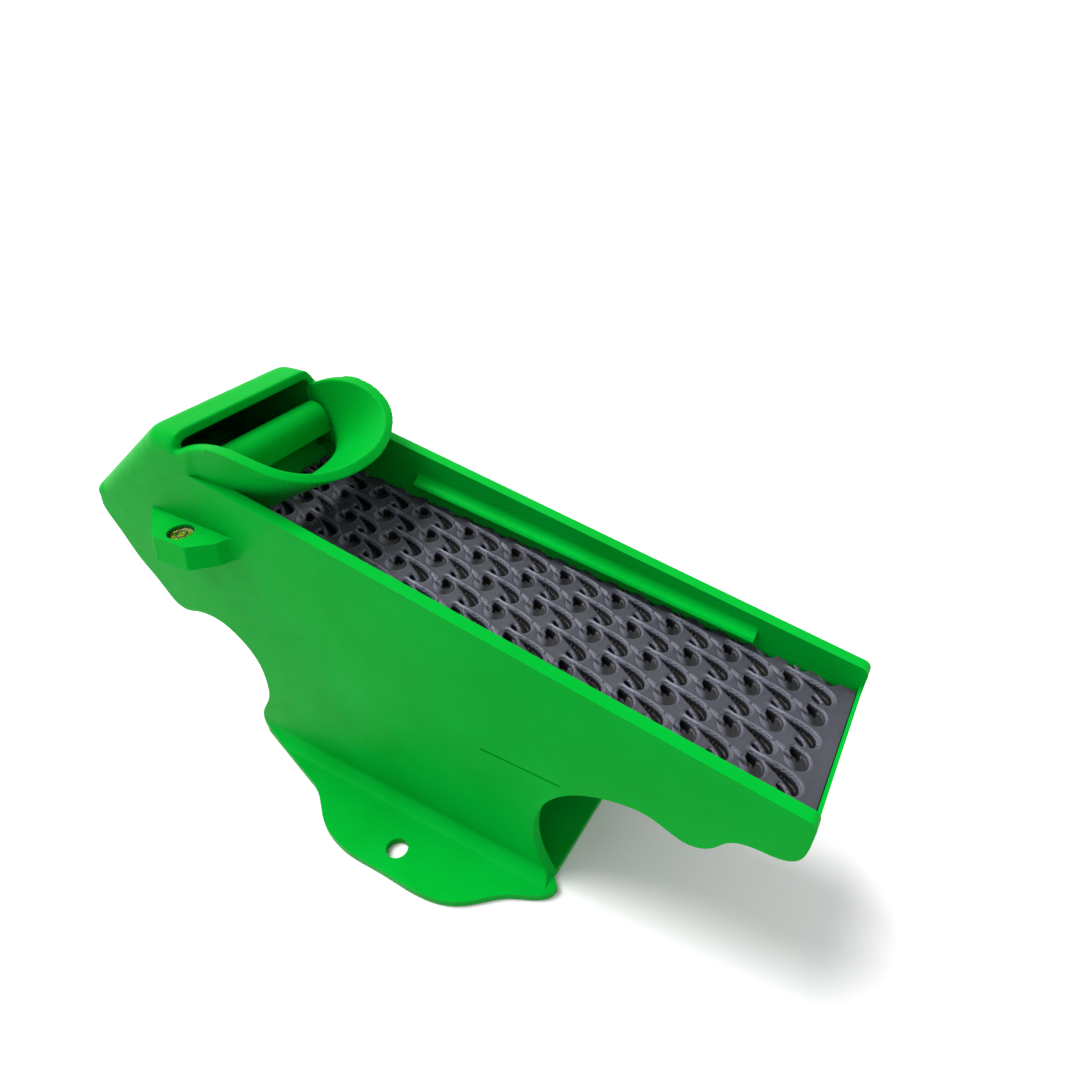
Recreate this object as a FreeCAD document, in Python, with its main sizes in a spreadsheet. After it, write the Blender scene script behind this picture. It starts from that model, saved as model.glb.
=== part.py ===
import FreeCAD, Part
import math
import os
import re
from FreeCAD import Vector, Rotation, Placement

# Tabletop recirculating mini sluice.
# Frame: millimetres, +X down the sluice to its tail, +Z up from the ground, Y across.
# The origin is on the ground under the middle of the overall length.

SIZES = [
    # overall
    ("tail_x", 187.1, "tail end of the deck and walls"),
    ("back_x", -187.1, "rearmost point of the header"),
    ("inner_wide", 76.6, "clear width between the side walls"),
    ("wall_thick", 5.7, "side walls"),
    ("deck_thick", 4.5, "deck under the mat"),
    # riffle mat and rails
    ("mat_tail_z", 119.6, "top of the mat at the tail"),
    ("mat_slope", 7.195, "fall of the deck and mat, degrees"),
    ("mat_thick", 6.0, "mat"),
    ("mat_side_gap", 0.2, "mat to wall, each side"),
    ("mat_bed_gap", 0.05, "mat to deck"),
    ("mat_end_gap", 1.9, "mat to the tail end"),
    ("lip_thick", 1.6, "tail lip that holds the mat in"),
    ("lip_fillet", 4.5, "tail lip to wall fillets"),
    ("mat_weir_gap", 0.6, "mat to weir plate"),
    ("cell_pitch", 27.15, "pocket spacing along a row"),
    ("row_pitch", 12.57, "row spacing across the mat"),
    ("pocket_deep", 3.6, "riffle pocket depth"),
    ("rail_tail_z", 131.6, "top of the walls at the tail"),
    ("rail_slope", 10.43, "fall of the wall tops, degrees"),
    ("rail_end_rad", 4.0, "rounding of the wall tops at the tail"),
    ("rib_low_x", -39.2, "hold-down rib, upper end"),
    ("rib_high_x", 140.3, "hold-down rib, lower end"),
    ("rib_nose", 1.3, "hold-down rib nose radius"),
    ("rib_cove", 4.2, "cove above the hold-down rib"),
    ("rib_out", 4.8, "hold-down rib, out from the wall"),
    ("rib_clear", 3.2, "rib above the mat at its lower end"),
    ("rib_slope", 8.4, "fall of the rib, degrees"),
    # foot
    ("foot_left_x", -116.7, "base tip, header side"),
    ("foot_right_x", 84.0, "base tip, tail side"),
    ("base_thick", 4.4, "base plate and flanges"),
    ("flange_out", 39.6, "flange width outside the wall"),
    ("flange_hole_x", 5.3, "flange holes, along the base"),
    ("flange_hole_out", 25.3, "flange holes, out from the wall"),
    ("flange_hole_rad", 5.8, "flange holes"),
    ("flange_fillet", 8.0, "wall to flange fillet"),
    # header tank, hood and hopper
    ("mouth_x", -104.0, "hood mouth and back end of the hopper"),
    ("tank_front_x", -107.7, "back of the tank's front wall"),
    ("tank_floor_z", 95.0, "top of the tank floor"),
    ("tank_wall", 4.5, "tank floor, front and back walls"),
    ("hood_side_z", 144.3, "hood joint at the back"),
    ("hood_back_z", 155.6, "foot of the hood's sloping back"),
    ("hood_rise", 16.62, "top of the hood above the rails at its mouth"),
    ("hood_ridge_x", -120.3, "back edge of the hood's flat top"),
    ("hood_ridge_rad", 12.0, "rounding of the hood's ridge"),
    ("hood_back_rad", 9.5, "rounding of the hood's back corner"),
    ("hood_edge_rad", 9.0, "rounding along the hood's sides"),
    ("hood_foot_rad", 0.6, "rounding of the hood's sides at the joint"),
    ("hood_thick", 4.5, "hood shell"),
    ("rim_run_back", 3.5, "hopper rim past the hood's mouth"),
    ("cheek_long", 6.0, "hopper sides flush with the rails"),
    ("hopper_front_x", -34.0, "front of the hopper lip"),
    ("hopper_thick", 4.5, "hopper wall"),
    ("throat_front_x", -77.3, "front edge of the hopper throat"),
    ("throat_above_mat", 14.0, "hopper throat above the mat"),
    ("weir_x", -99.1, "weir bar axis"),
    ("weir_z", 179.5, "weir bar axis"),
    ("weir_rad", 8.6, "weir bar"),
    ("weir_apron", 5.5, "front apron below the weir bar's axis"),
    ("weir_end_gap", 3.8, "weir bar end to wall"),
    # level
    ("shelf_z", 156.2, "level shelf top"),
    ("shelf_deep", 11.5, "level shelf thickness"),
    ("level_x", -108.7, "level centre"),
    ("level_out", 7.9, "level centre out from the wall"),
    ("level_rad", 6.1, "level case"),
    ("level_deep", 7.0, "level case height"),
    ("level_seat_gap", 0.1, "level case in its pocket"),
    ("shelf_flare", 1.15, "shelf's foot to its top, outwards"),
    ("level_sink", 1.4, "level below the shelf top"),
    ("mark_x", 48.0, "water line, upper end"),
    ("mark_long", 41.0, "water line"),
    ("mark_z", 85.2, "water line height"),
    ("mark_wide", 1.0, "water line groove"),
    ("mark_deep", 0.6, "water line groove"),
    # pump
    ("pump_back_x", -78.0, "pump housing back"),
    ("pump_front_x", -40.0, "pump housing front"),
    ("pump_wide", 38.0, "pump housing width"),
    ("pump_tall", 38.0, "pump housing height"),
    ("pump_foot_tall", 4.0, "suction feet"),
    ("rotor_rad", 8.0, "magnet"),
    ("rotor_long", 20.0, "magnet"),
    ("rotor_gap", 0.6, "magnet in its tunnel"),
    ("impeller_rad", 12.0, "impeller"),
    ("impeller_deep", 6.5, "impeller"),
    ("chamber_gap", 1.2, "impeller in its chamber"),
    ("shaft_rad", 1.25, "ceramic shaft"),
    ("shaft_fit", 0.05, "rotor bore on the shaft"),
    ("cover_long", 14.0, "intake cover"),
    ("cover_wall", 1.8, "intake cover"),
    ("dial_rad", 11.0, "flow dial"),
    ("dial_thick", 2.2, "flow dial"),
    ("dial_gap", 0.4, "flow dial to cover"),
    # hose line
    ("hose_bore", 5.0, "hose inner radius"),
    ("hose_rad", 6.6, "hose outer radius"),
    ("hose_bend", 30.0, "hose bend radius"),
    ("barb_fit", 0.05, "hose on its barbs"),
    ("inlet_z", 116.0, "tank inlet height"),
]

doc = FreeCAD.newDocument("mini_sluice")
sheet = doc.addObject("Spreadsheet::Sheet", "Dims")
for row, (alias, value, meaning) in enumerate(SIZES, start=1):
    sheet.set("A%d" % row, meaning)
    sheet.set("B%d" % row, str(value))
    sheet.setAlias("B%d" % row, alias)
doc.recompute()

ALIASES = [alias for alias, value, meaning in SIZES]
WORD = re.compile(r"\b(%s)\b" % "|".join(ALIASES))
NODES = []


def size(alias):
    return float(sheet.get(alias))


def bind(thing, path, formula):
    """Tie one property to a formula in the sheet's aliases."""
    thing.setExpression(path, WORD.sub(r"Dims.\1", formula))


def node(thing, label):
    """Mark an object as a finished piece, with its own file name."""
    thing.Label = label
    NODES.append(thing)
    return thing


def box(name, x, y, z):
    """A block between (low, high) formulas on each axis."""
    block = doc.addObject("Part::Box", name)
    for prop, axis, (low, high) in (("Length", "x", x), ("Width", "y", y), ("Height", "z", z)):
        bind(block, prop, "(%s) - (%s)" % (high, low))
        bind(block, "Placement.Base." + axis, low)
    return block


TURN = {
    "x": Rotation(Vector(0, 1, 0), 90),
    "y": Rotation(Vector(1, 0, 0), -90),
    "z": Rotation(),
}


def cylinder(name, axis, radius, low, high, first, second):
    """A rod along an axis; first and second are its centre on the other two axes."""
    rod = doc.addObject("Part::Cylinder", name)
    rod.Placement = Placement(Vector(), TURN[axis])
    others = [letter for letter in "xyz" if letter != axis]
    bind(rod, "Radius", radius)
    bind(rod, "Height", "(%s) - (%s)" % (high, low))
    bind(rod, "Placement.Base." + axis, low)
    bind(rod, "Placement.Base." + others[0], first)
    bind(rod, "Placement.Base." + others[1], second)
    return rod


def cone(name, axis, low_radius, high_radius, low, high, first, second):
    """A tapered rod along an axis."""
    rod = doc.addObject("Part::Cone", name)
    rod.Placement = Placement(Vector(), TURN[axis])
    others = [letter for letter in "xyz" if letter != axis]
    bind(rod, "Radius1", low_radius)
    bind(rod, "Radius2", high_radius)
    bind(rod, "Height", "(%s) - (%s)" % (high, low))
    bind(rod, "Placement.Base." + axis, low)
    bind(rod, "Placement.Base." + others[0], first)
    bind(rod, "Placement.Base." + others[1], second)
    return rod


def torus(name, axis, ring, tube, along, first, second):
    """A ring whose hole runs along an axis."""
    loop = doc.addObject("Part::Torus", name)
    loop.Placement = Placement(Vector(), TURN[axis])
    others = [letter for letter in "xyz" if letter != axis]
    bind(loop, "Radius1", ring)
    bind(loop, "Radius2", tube)
    bind(loop, "Placement.Base." + axis, along)
    bind(loop, "Placement.Base." + others[0], first)
    bind(loop, "Placement.Base." + others[1], second)
    return loop


def fuse(name, *parts):
    joined = doc.addObject("Part::MultiFuse", name)
    joined.Shapes = list(parts)
    return joined


def cut(name, base, *tools):
    result = doc.addObject("Part::Cut", name)
    result.Base = base
    result.Tool = tools[0] if len(tools) == 1 else fuse(name + "_tools", *tools)
    return result


def group(name, *parts):
    """Identical separate solids kept as one piece file."""
    bundle = doc.addObject("Part::Compound", name)
    bundle.Links = list(parts)
    return bundle


def feature(name, shape):
    """A shape made with Part's own functions from the sheet's sizes."""
    thing = doc.addObject("Part::Feature", name)
    thing.Shape = shape
    thing.Placement = Placement()
    return thing


# ---------------------------------------------------------------- shared places

def inner_half():
    return size("inner_wide") / 2


def outer_half():
    return inner_half() + size("wall_thick")


def mat_top(x):
    """Height of the mat's top surface."""
    return size("mat_tail_z") + (size("tail_x") - x) * math.tan(math.radians(size("mat_slope")))


def mat_drop():
    """Vertical thickness of the mat on its slope."""
    return size("mat_thick") / math.cos(math.radians(size("mat_slope")))


def deck_top(x):
    return mat_top(x) - mat_drop() - size("mat_bed_gap")


def deck_under(x):
    return deck_top(x) - size("deck_thick")


def rail_top(x):
    """Height of the side walls' top edge."""
    return size("rail_tail_z") + (size("tail_x") - x) * math.tan(math.radians(size("rail_slope")))


def hood_top():
    return rail_top(size("mouth_x")) + size("hood_rise")


def hood_seam(x):
    """Height of the joint between the hood and the header's walls."""
    front_x = size("mouth_x")
    back_x = size("back_x")
    rise = (rail_top(front_x) - size("hood_side_z")) / (front_x - back_x)
    return size("hood_side_z") + (x - back_x) * rise


def spline(points):
    """Smooth edge through points."""
    curve = Part.BSplineCurve()
    curve.interpolate([Vector(*point) for point in points])
    return curve.toShape()


def polyline(points):
    vectors = [Vector(*point) for point in points]
    return [Part.makeLine(a, b) for a, b in zip(vectors, vectors[1:])]


def rounded_line(corners, radii):
    """Straight runs joined by tangent arcs, one radius for each inner corner."""
    edges = []
    start = corners[0]
    for corner, after, radius in zip(corners[1:], corners[2:], radii):
        back = (start - corner).normalize()
        ahead = (after - corner).normalize()
        half = back.getAngle(ahead) / 2
        leave = corner + back * (radius / math.tan(half))
        rejoin = corner + ahead * (radius / math.tan(half))
        inward = (back + ahead).normalize()
        middle = corner + inward * (radius / math.sin(half) - radius)
        edges += [Part.makeLine(start, leave), Part.Arc(leave, middle, rejoin).toShape()]
        start = rejoin
    return edges + [Part.makeLine(start, corners[-1])]


def prism_y(points, y_low, y_high):
    """A flat outline in XZ, carried across from y_low to y_high."""
    closed = [(x, y_low, z) for x, z in points]
    wire = Part.Wire(polyline(closed + closed[:1]))
    return Part.Face(wire).extrude(Vector(0, y_high - y_low, 0))


def prism_z(points, z_low, z_high):
    """A flat outline in XY, carried up from z_low to z_high."""
    closed = [(x, y, z_low) for x, y in points]
    wire = Part.Wire(polyline(closed + closed[:1]))
    return Part.Face(wire).extrude(Vector(0, 0, z_high - z_low))


# ---------------------------------------------------------------- sluice body

def tail_curve():
    """Underside of the wall from the tail end to the foot: lobe, arch and waist."""
    tail = size("tail_x")
    low = deck_under(tail)
    foot = size("foot_right_x")
    lobes = [(0, 9.7), (-0.45, 4.8), (-1.9, 0.3), (-4.9, -2.7), (-10.7, -4.2), (-18.7, -4.6), (-25.7, -7.9),
             (-31.9, -16.9), (-39.8, -21.1), (-52.0, -17.2), (-61.4, -14.6), (-70.1, -15.5),
             (-83.8, -20.2), (-97.9, -30.3)]
    waist = [(-2.7, 67.8), (-8.0, 52.8), (-9.6, 41.4), (-7.1, 21.1), (0, size("base_thick"))]
    points = [(tail + dx, 0, low + dz) for dx, dz in lobes]
    points += [(foot + dx, 0, z) for dx, z in waist]
    return points


def header_curve():
    """Underside of the wall from the foot to the header's back corner."""
    back = size("back_x")
    foot = size("foot_left_x")
    low = size("tank_floor_z") - size("tank_wall")
    waist = [(0, size("base_thick")), (2.7, 21.1), (13.2, 37.8), (17.2, 54.6), (15.9, 69.5)]
    lobes = [(78.3, -8.7), (66.9, -1.6), (57.0, -0.5), (45.3, -2.8), (37.0, -5.1), (29.9, -3.4),
             (25.5, 1.9), (21.0, 9.9), (12.3, 22.1), (5.3, 38.9), (0.6, 49.5),
             (0, size("hood_side_z") - low)]
    points = [(foot + dx, 0, z) for dx, z in waist]
    points += [(back + dx, 0, low + dz) for dx, dz in lobes]
    return points


def wall_face():
    """One side wall's outline in XZ."""
    tail = size("tail_x")
    mouth = size("mouth_x")
    tail_points = tail_curve()
    header_points = header_curve()
    seam = [(size("back_x"), 0, size("hood_side_z")), (mouth, 0, rail_top(mouth))]
    rail = rounded_line([Vector(*seam[1]), Vector(tail, 0, rail_top(tail)), Vector(*tail_points[0])],
                        [size("rail_end_rad")])
    ground = [tail_points[-1], (size("foot_right_x"), 0, 0), (size("foot_left_x"), 0, 0),
              header_points[0]]
    edges = [spline(tail_points)] + polyline(ground) + [spline(header_points)] + polyline(seam)
    return Part.Face(Part.Wire(edges + rail))


def flange_points():
    """Free edge of one flange: distance along the base and out from the wall."""
    left = size("foot_left_x")
    right = size("foot_right_x")
    out = size("flange_out")
    return [(left + 52.8, out - 23.3), (left + 68.3, out - 13.9), (left + 77.2, out - 7.0),
            (left + 87.1, out - 2.7), (left + 98.0, out - 0.4), (left + 120.0, out - 0.3),
            (left + 142.0, out), (left + 158.0, out - 2.2), (left + 166.0, out - 5.6),
            (right - 27.6, out - 10.9), (right - 15.3, out - 21.3), (right - 0.8, out - 28.8),
            (right + 3.1, out - 32.2), (right + 4.8, out - 37.5)]


def flange_plate(side, height):
    """One lobed flange outside a wall, as a plate of the given height."""
    wall = outer_half()
    free = [(x, side * (wall + out), 0) for x, out in flange_points()]
    inside = side * (wall - size("wall_thick") / 2)
    start = (size("foot_left_x"), inside, 0)
    end = (size("foot_right_x"), inside, 0)
    corner = (size("foot_left_x"), side * wall, 0)
    edges = polyline([end, start, corner, free[0]]) + [spline(free)] + polyline([free[-1], end])
    return Part.Face(Part.Wire(edges)).extrude(Vector(0, 0, height))


def fillet_strip(side):
    """Concave fillet where a wall stands on its flange."""
    radius = size("flange_fillet")
    floor = size("base_thick")
    wall = outer_half()
    start = size("foot_left_x")
    length = size("foot_right_x") + 6 - start
    y_low = min(side * wall, side * (wall + radius))
    strip = Part.makeBox(length, radius, radius, Vector(start, y_low, floor))
    axis = Vector(start - 1, side * (wall + radius), floor + radius)
    strip = strip.cut(Part.makeCylinder(radius, length + 2, axis, Vector(1, 0, 0)))
    outline = wall_face()
    outline.translate(Vector(0, y_low - 1, 0))
    strip = strip.common(outline.extrude(Vector(0, radius + 2, 0)))
    return strip.common(flange_plate(side, floor + radius))


def rib(side):
    """Hold-down rib on a wall's inner face: flat below, round nose, cove above."""
    nose = size("rib_nose")
    cove = size("rib_cove")
    out = size("rib_out")
    low_x = size("rib_high_x")
    low_z = mat_top(low_x) + size("rib_clear")
    run = size("rib_high_x") - size("rib_low_x")
    rise = run * math.tan(math.radians(size("rib_slope")))
    reach = inner_half() - out
    sunk = inner_half() + 1
    middle = math.sqrt(0.5)

    def place(y, z):
        return Vector(low_x, side * y, low_z + z)

    crown = 2 * nose
    start = place(reach + nose, crown)
    foot = place(inner_half(), crown + cove)
    edges = [
        Part.makeLine(place(sunk, 0), place(reach + nose, 0)),
        Part.Arc(place(reach + nose, 0), place(reach, nose), start).toShape(),
        Part.makeLine(start, place(inner_half() - cove, crown)),
        Part.Arc(place(inner_half() - cove, crown),
                 place(inner_half() - cove * (1 - middle), crown + cove * (1 - middle)), foot).toShape(),
        Part.makeLine(foot, place(sunk, crown + cove)),
        Part.makeLine(place(sunk, crown + cove), place(sunk, 0)),
    ]
    return Part.Face(Part.Wire(edges)).extrude(Vector(-run, 0, rise))


def tail_lip():
    """Thin lip across the tail, level with the mat, with a fillet up to each wall."""
    tail = size("tail_x")
    thick = size("lip_thick")
    half = inner_half()
    radius = size("lip_fillet")
    top = mat_top(tail)
    lip = Part.makeBox(thick, 2 * half + 1, top - deck_under(tail) - 1,
                       Vector(tail - thick, -half - 0.5, deck_under(tail) + 1))
    for side in (-1, 1):
        y_low = min(side * half, side * (half - radius))
        corner = Part.makeBox(thick, radius, radius, Vector(tail - thick, y_low, top))
        axis = Vector(tail - thick - 1, side * (half - radius), top + radius)
        lip = lip.fuse(corner.cut(Part.makeCylinder(radius, thick + 2, axis, Vector(1, 0, 0))))
    return lip


def shelf():
    """Level shelf on the near wall, with the level's pocket."""
    inside = size("wall_thick") / 2
    x = size("level_x")
    top = size("shelf_z")
    out = [(-31.5, -0.5), (-8.9, 16.7), (12.3, 15.8), (22.4, 6.8), (24.6, 0.4), (32.0, -0.4)]
    corner_radii = [2.5, 2.5, 3.0, 3.5]
    wires = []
    for z, flare in ((top, 1.0), (top - size("shelf_deep"), size("shelf_flare"))):
        plan = [Vector(x + dx, -(outer_half() + dy * flare), z) for dx, dy in out]
        back = [Vector(plan[i].x, inside - outer_half(), z) for i in (-1, 0)]
        closing = polyline([tuple(p) for p in (plan[-1], back[0], back[1], plan[0])])
        wires.append(Part.Wire(rounded_line(plan, corner_radii) + closing))
    block = Part.makeLoft(wires, True, True)
    centre = Vector(x, -(outer_half() + size("level_out")), top - size("level_deep"))
    pocket = Part.makeCylinder(size("level_rad") + size("level_seat_gap"), 30, centre)
    return block.cut(pocket)


def tank():
    """Header tank: floor, sloping back wall and front wall between the side walls."""
    thick = size("tank_wall")
    floor = size("tank_floor_z")
    back = size("back_x")
    front = size("tank_front_x")
    half = inner_half() + 0.5
    low_back = (back + 24.5, floor - thick)
    high_back = (back + 1.2, size("hood_side_z") - 4.5)
    lean = thick * 1.15
    walls = [
        [low_back, (front + thick, floor - thick), (front + thick, floor), (low_back[0], floor)],
        [(front, floor - thick), (front + thick, floor - thick),
         (front + thick, deck_top(front + thick)), (front, deck_top(front))],
        [low_back, (low_back[0] + lean, floor - thick), (high_back[0] + lean, hood_seam(back + lean)),
         (back, hood_seam(back)), high_back],
    ]
    return [prism_y(points, -half, half) for points in walls]


def sluice_body():
    tail = size("tail_x")
    front = size("tank_front_x")
    half = inner_half()
    face = wall_face()
    walls = []
    for side in (-1, 1):
        y_start = -outer_half() if side < 0 else half
        wall = face.extrude(Vector(0, size("wall_thick"), 0))
        wall.translate(Vector(0, y_start, 0))
        walls.append(wall)
    deck = prism_y([(front, deck_under(front)), (tail, deck_under(tail)),
                    (tail, deck_top(tail)), (front, deck_top(front))], -half - 0.5, half + 0.5)
    base = Part.makeBox(size("foot_right_x") - size("foot_left_x"), 2 * half + 1,
                        size("base_thick"), Vector(size("foot_left_x"), -half - 0.5, 0))
    pieces = walls[1:] + [deck, tail_lip(), base, shelf()] + tank()
    pieces += [flange_plate(side, size("base_thick")) for side in (-1, 1)]
    pieces += [fillet_strip(side) for side in (-1, 1)]
    pieces += [rib(side) for side in (-1, 1)]
    shape = walls[0].fuse(pieces).removeSplitter()
    inlet = Part.makeCylinder(size("hose_bore") + 1.2, 30,
                              Vector(front - 10, 0, size("inlet_z")), Vector(1, 0, 0))
    shape = shape.cut(inlet)
    for side in (-1, 1):
        centre = Vector(size("flange_hole_x"), side * (outer_half() + size("flange_hole_out")), -1)
        shape = shape.cut(Part.makeCylinder(size("flange_hole_rad"), 30, centre))
    level = Part.makeCylinder(size("level_rad") + size("level_seat_gap"), 30,
                              Vector(size("level_x"), -(outer_half() + size("level_out")),
                                     size("shelf_z") - size("level_deep")))
    mark = Part.makeBox(size("mark_long"), 2 * size("mark_deep"), size("mark_wide"),
                        Vector(size("mark_x"), -outer_half() - size("mark_deep"), size("mark_z")))
    return shape.cut([level, mark])


# ---------------------------------------------------------------- hood and hopper

def hood_block(inset):
    """Header hood as a solid with rounded sides; inset moves every wall inwards for its hollow."""
    mouth = size("mouth_x")
    back = size("back_x") + inset
    ridge = size("hood_ridge_x")
    top = hood_top()
    pitch = math.atan2(top - size("hood_back_z"), ridge - size("back_x"))
    back_z = size("hood_back_z") - inset / math.cos(pitch) + inset * math.tan(pitch)
    ridge_x = ridge + inset * math.tan(pitch / 2)
    seam = (size("back_x") + inset, hood_seam(size("back_x") + inset))
    outline = [(mouth, hood_seam(mouth)), (mouth, top - inset), (ridge_x, top - inset),
               (back, back_z), seam]
    roof = rounded_line([Vector(x, 0, z) for x, z in outline[1:]],
                        [size("hood_ridge_rad"), size("hood_back_rad")])
    closing = polyline([(x, 0, z) for x, z in (seam, outline[0], outline[1])])
    half = outer_half() - inset
    face = Part.Face(Part.Wire(roof + closing))
    face.translate(Vector(0, -half, 0))
    block = feature("HoodBlock%d" % round(10 * inset), face.extrude(Vector(0, 2 * half, 0)))
    wide = size("hood_edge_rad") - inset
    narrow = min(wide, size("hood_foot_rad"))
    radii = []
    for number, edge in enumerate(block.Shape.Edges, start=1):
        ends = [vertex.Point for vertex in edge.Vertexes]
        on_side = all(abs(abs(p.y) - half) < 1e-6 for p in ends) and ends[0].y * ends[1].y > 0
        heights = [p.z - hood_seam(p.x) for p in ends]
        if not on_side or abs(ends[0].x - ends[1].x) < 1e-6 and abs(ends[0].x - mouth) < 1e-6:
            continue
        if max(abs(height) for height in heights) < 1e-6:
            continue
        first, last = [narrow if p.x < back + 0.1 else wide for p in ends]
        radii.append((number, first, last))
    rounded = doc.addObject("Part::Fillet", "HoodRounded%d" % round(10 * inset))
    rounded.Base = block
    rounded.Edges = radii
    doc.recompute()
    return rounded.Shape


def mirrored(points):
    """A curve given from the middle of the lip to its end, completed on the other side."""
    other = [(x, -y, z) for x, y, z in points[1:]]
    return list(reversed(other)) + list(points)


def hopper_curves():
    """Inner rim, outer rim, inner throat and outer throat, each from one side to the other."""
    lip = size("hopper_front_x")
    mouth = size("mouth_x")
    inner = inner_half()
    outer = outer_half()
    throat = size("throat_front_x")
    throat_z = mat_top(throat) + size("throat_above_mat")
    thick = size("hopper_thick")
    top = hood_top()
    side = inner - 2.8
    tip = mouth - size("rim_run_back")
    tip_z = top - 9.4
    outer_rim = [(lip, 0, top - 17.3), (lip - 2, 14, top - 16.8), (lip - 7.5, 28, top - 13.3),
                 (lip - 16, outer - 5.6, top - 7.6), (lip - 28, outer - 1.3, top - 2.0),
                 (lip - 42, outer - 0.2, top + 0.2), (lip - 56, outer, top - 2.2),
                 (tip, outer, tip_z)]
    inner_rim = [(lip - 2.8, 0, top - 13.4), (lip - 4.5, 12, top - 13.2), (lip - 9, 24.5, top - 10.8),
                 (lip - 16.5, inner - 5.3, top - 6.6), (lip - 28, inner - 1.1, top - 2.0),
                 (lip - 42, inner - 0.3, top - 0.2), (lip - 56, inner - 0.1, top - 2.2),
                 (tip, inner, tip_z)]
    drop = 0.9 * thick
    under_x = mouth + (mouth - tip) * drop / (tip_z - throat_z)
    inner_throat = [(throat, 0, throat_z), (throat - 0.4, 9, throat_z), (throat - 2.5, 20, throat_z),
                    (throat - 7.5, side - 6, throat_z), (throat - 15, side - 0.8, throat_z),
                    (mouth, side, throat_z)]
    outer_throat = [(throat + 2.1, 0, throat_z - drop), (throat + 1.7, 10, throat_z - drop),
                    (throat - 0.2, 22, throat_z - drop), (throat - 5.5, side - 4, throat_z - drop),
                    (throat - 14, side + 1.9, throat_z - drop),
                    (under_x, side + 2.6, throat_z - drop)]
    return [spline(mirrored(curve)) for curve in (inner_rim, outer_rim, outer_throat, inner_throat)]


def hopper():
    """Flared feed scoop: ruled walls from its rim down to its throat."""
    curves = hopper_curves()
    skins = []
    for first, second in zip(curves, curves[1:] + curves[:1]):
        skins.append(Part.makeRuledSurface(first, second))
    ends = []
    for last in (0, -1):
        corners = [curve.Vertexes[last].Point for curve in curves]
        ends.append(Part.Face(Part.makePolygon(corners + corners[:1])))
    shell = Part.Shell(skins + ends)
    shell.sewShape()
    solid = Part.Solid(shell)
    if solid.Volume < 0:
        solid.reverse()
    return solid


def hopper_cheeks():
    """Flush pads where the hopper's sides meet the rails, beside the hood's mouth."""
    mouth = size("mouth_x")
    end = mouth + size("cheek_long")
    top = hood_top()
    outline = [(mouth - 1, rail_top(mouth)), (mouth, rail_top(mouth)), (end, rail_top(end)),
               (end + 6, top - 3.2), (mouth - 1, top - 8.6)]
    low = inner_half() + size("wall_thick") / 2
    return [prism_y(outline, min(side * low, side * outer_half()), max(side * low, side * outer_half()))
            for side in (-1, 1)]


def header_hood():
    mouth = size("mouth_x")
    start = mouth - size("rim_run_back") - 1
    outer = hood_block(0)
    hollow = hood_block(size("hood_thick"))
    hollow = hollow.fuse(hollow.translated(Vector(0.5, 0, 0))).fuse(
        hollow.translated(Vector(0, 0, -0.5)))
    shell = outer.cut(hollow)
    joined = shell.fuse([hopper()] + hopper_cheeks()).removeSplitter()
    # seat on the rails and clear of the walls' inner faces
    tail = size("tail_x")
    fit = 0.1
    seats = []
    for side in (-1, 1):
        y_low = inner_half() - fit if side > 0 else -outer_half() - 1
        y_high = outer_half() + 1 if side > 0 else -inner_half() + fit
        seats.append(prism_y([(start, 0), (tail, 0), (tail, rail_top(tail)),
                              (mouth, rail_top(mouth)), (start, hood_seam(start))], y_low, y_high))
    return joined.cut(seats)


# ---------------------------------------------------------------- riffle mat

def teardrop(x, y):
    """One riffle pocket: round deep end down the slope, tapering up it."""
    big, small, reach = 3.4, 1.1, 15.0
    lean = 2.6
    tail = Vector(x - reach, y + lean, 0)
    head = Vector(x, y, 0)
    along = head - tail
    angle = math.atan2(along.y, along.x)
    open_angle = math.acos((big - small) / along.Length)
    def rim(centre, radius, turn):
        return centre + Vector(radius * math.cos(angle + turn), radius * math.sin(angle + turn), 0)
    flip = math.pi - open_angle
    a, b = rim(head, big, flip), rim(head, big, -flip)
    c, d = rim(tail, small, -flip), rim(tail, small, flip)
    edges = [Part.Arc(a, rim(head, big, 0), b).toShape(), Part.makeLine(b, c),
             Part.Arc(c, rim(tail, small, math.pi), d).toShape(), Part.makeLine(d, a)]
    return Part.Face(Part.Wire(edges))


def mat_length():
    lean = size("mat_thick") * math.sin(math.radians(size("mat_slope")))
    start = size("tank_front_x") + size("tank_wall") + size("mat_weir_gap") + lean
    run = size("tail_x") - size("mat_end_gap") - start
    return run / math.cos(math.radians(size("mat_slope")))


def riffle_mat():
    """Rubber mat with brick-staggered pockets, made flat and laid on the deck."""
    length = mat_length()
    half = inner_half() - size("mat_side_gap")
    thick = size("mat_thick")
    slab = Part.makeBox(length, 2 * half, thick, Vector(-length, -half, -thick))
    rows = int(2 * half // size("row_pitch"))
    pockets = []
    for row in range(rows):
        y = (row - (rows - 1) / 2) * size("row_pitch")
        x = -18.0 - (row % 2) * size("cell_pitch") / 2
        while x > -length + 20:
            pockets.append(teardrop(x, y).extrude(Vector(0, 0, -size("pocket_deep"))))
            x -= size("cell_pitch")
    mat = slab.cut(Part.makeCompound(pockets))
    end = size("tail_x") - size("mat_end_gap")
    return mat, Placement(Vector(end, 0, mat_top(end)), Rotation(Vector(0, 1, 0), size("mat_slope")))


# ---------------------------------------------------------------- pieces

body = node(feature("Body", sluice_body()), "sluice_body")
hood = node(feature("Hood", header_hood()), "header_hood")

mat_shape, mat_place = riffle_mat()
mat = node(feature("Mat", mat_shape), "riffle_mat")
mat.Placement = mat_place

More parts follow.
